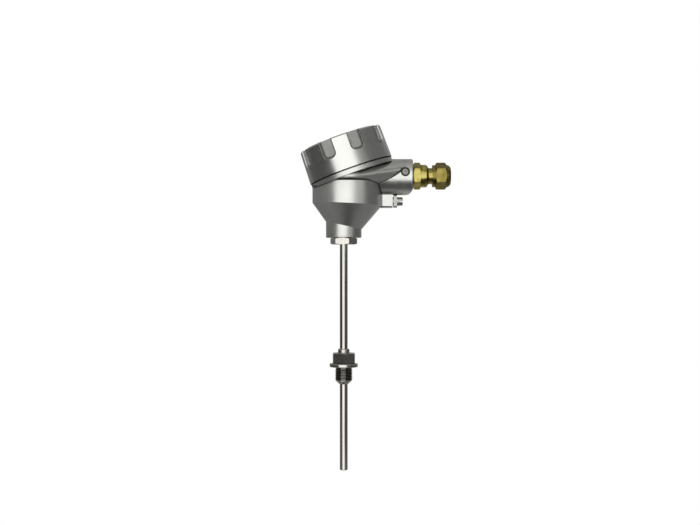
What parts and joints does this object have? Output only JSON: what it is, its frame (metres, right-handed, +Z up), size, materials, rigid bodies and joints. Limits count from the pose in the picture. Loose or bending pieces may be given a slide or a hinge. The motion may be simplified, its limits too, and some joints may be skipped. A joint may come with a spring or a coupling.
{
  "type": "temperature sensor",
  "caption": "Industrial temperature sensor: leaning screw-lid connection head, brass cable gland, hexagon process fitting and closed stainless stem.",
  "frame": {"origin": "centre of the sealing face under the process fitting's flange, on the stem's axis", "axes": "+Z up along the stem towards the head, +X towards the cable gland, +Y away from the side that the picture shows"},
  "size_m": [0.1535, 0.088, 0.3528],
  "materials": {
    "cast_aluminium": "cast, blasted and clear coated, satin",
    "turned_aluminium": "turned, fine turning lines, recesses left as cast",
    "stainless": "turned and drawn stainless steel, polished",
    "black_rubber": "matt",
    "gland_brass": "turned brass, semi-bright",
    "dark_steel": "blackened",
    "plated_steel": "zinc plated, bright",
    "white_ceramic": "fired, unglazed",
    "nickel_brass": "nickel plated brass",
    "nickel_wire": "drawn nickel wire"
  },
  "bodies": {
    "head": {"housing": "cast_aluminium", "protection_tube": "stainless", "tip_plug": "stainless", "process_fitting": "stainless", "neck_union": "stainless", "gland_gasket": "black_rubber", "gland_body": "gland_brass", "gland_insert": "black_rubber", "lock_screw": "dark_steel", "insert_plate": "stainless", "terminal_block": "white_ceramic", "mount_springs": "plated_steel", "mount_screws": "plated_steel", "terminal_clamps": "nickel_brass", "terminal_screws": "plated_steel", "insert_sheath": "stainless", "insulator": "white_ceramic", "sensing_element": "white_ceramic", "lead_wires": "nickel_wire", "inner_earth_screw": "plated_steel"},
    "lid_carrier": {"lid_seal": "black_rubber"},
    "lid": {"lid": "turned_aluminium"},
    "cap_carrier": {"press_ring": "gland_brass"},
    "cap": {"gland_cap": "gland_brass"},
    "clamp_carrier": {"earth_clamp": "plated_steel", "earth_washer": "plated_steel"},
    "earth_screw": {"earth_screw": "plated_steel"}
  },
  "joints": [
    {"name": "lid_lift", "type": "slide", "parent": "head", "child": "lid_carrier", "axis": [-0.3338, 0, 0.9426], "range_m": [0, 0.0111]},
    {"name": "lid_turn", "type": "hinge", "parent": "lid_carrier", "child": "lid", "pos_m": [0.0076, 0, 0.201], "axis": [-0.3338, 0, 0.9426], "range_deg": [0, 1980]},
    {"name": "cap_travel", "type": "slide", "parent": "head", "child": "cap_carrier", "axis": [1, 0, 0], "range_m": [0, 0.0046]},
    {"name": "cap_turn", "type": "hinge", "parent": "cap_carrier", "child": "cap", "pos_m": [0.1, 0, 0.1955], "axis": [1, 0, 0], "range_deg": [0, 1080]},
    {"name": "clamp_travel", "type": "slide", "parent": "head", "child": "clamp_carrier", "axis": [1, 0, 0], "range_m": [0, 0.0032]},
    {"name": "earth_turn", "type": "hinge", "parent": "clamp_carrier", "child": "earth_screw", "pos_m": [0.058, 0, 0.1695], "axis": [1, 0, 0], "range_deg": [0, 1440]}
  ],
  "couplings": [
    {"joint": "lid_lift", "follows": "lid_turn", "m_per_rad": 0.00031831},
    {"joint": "cap_travel", "follows": "cap_turn", "m_per_rad": 0.00023873},
    {"joint": "earth_turn", "follows": "clamp_travel", "rad_per_m": 7854}
  ]
}
